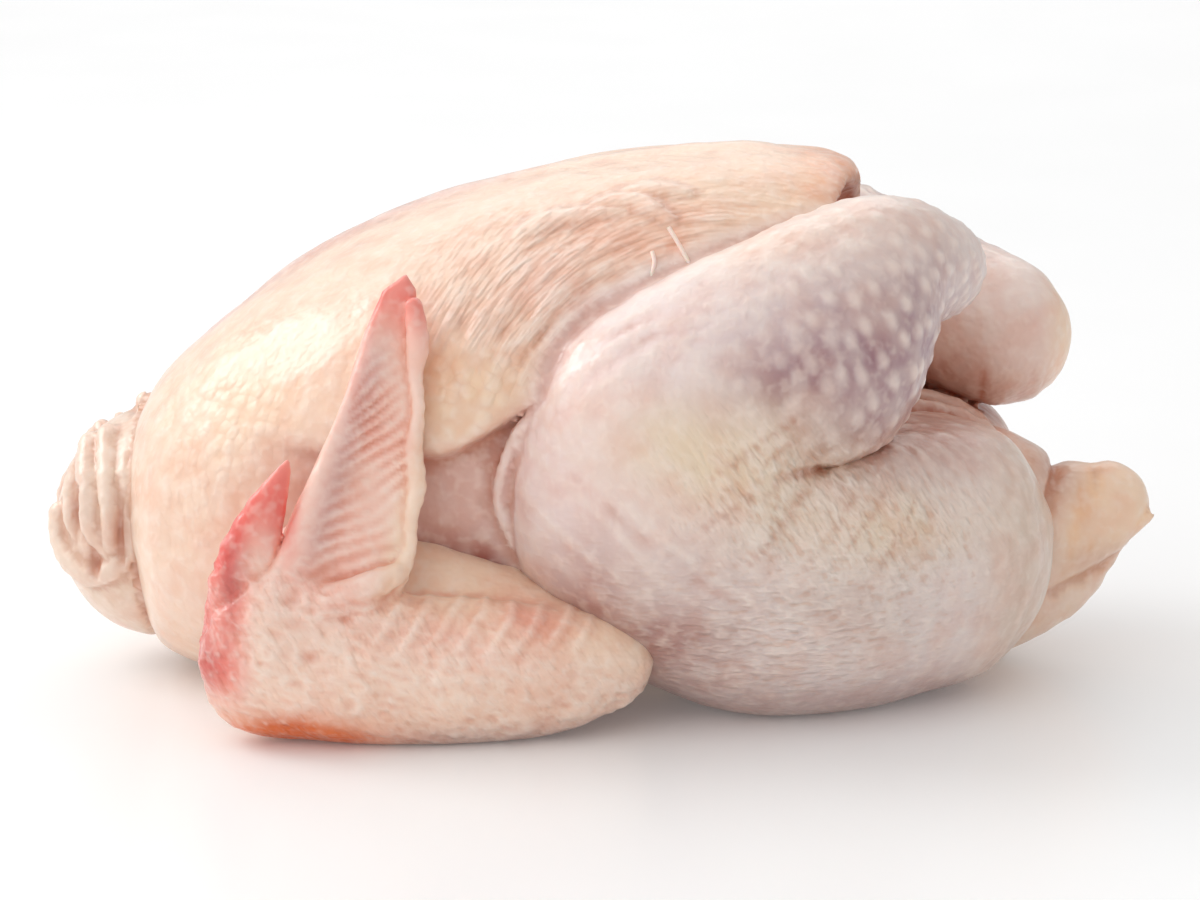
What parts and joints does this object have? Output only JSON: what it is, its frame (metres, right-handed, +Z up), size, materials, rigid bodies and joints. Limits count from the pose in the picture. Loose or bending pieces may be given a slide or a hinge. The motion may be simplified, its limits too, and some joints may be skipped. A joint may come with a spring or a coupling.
{
  "type": "whole raw chicken",
  "caption": "Whole raw chicken, plucked and drawn, lying on its back with its legs folded and its wings bent.",
  "frame": {"origin": "middle of the bird's outline on the table it rests on", "axes": "+X from the neck to the tail, +Y to the bird's left side, +Z up from its back to its breast"},
  "size_m": [0.2824, 0.2006, 0.1337],
  "materials": {
    "skin": "moist raw poultry skin, satin"
  },
  "bodies": {
    "root": {"chicken": "skin"}
  },
  "joints": []
}
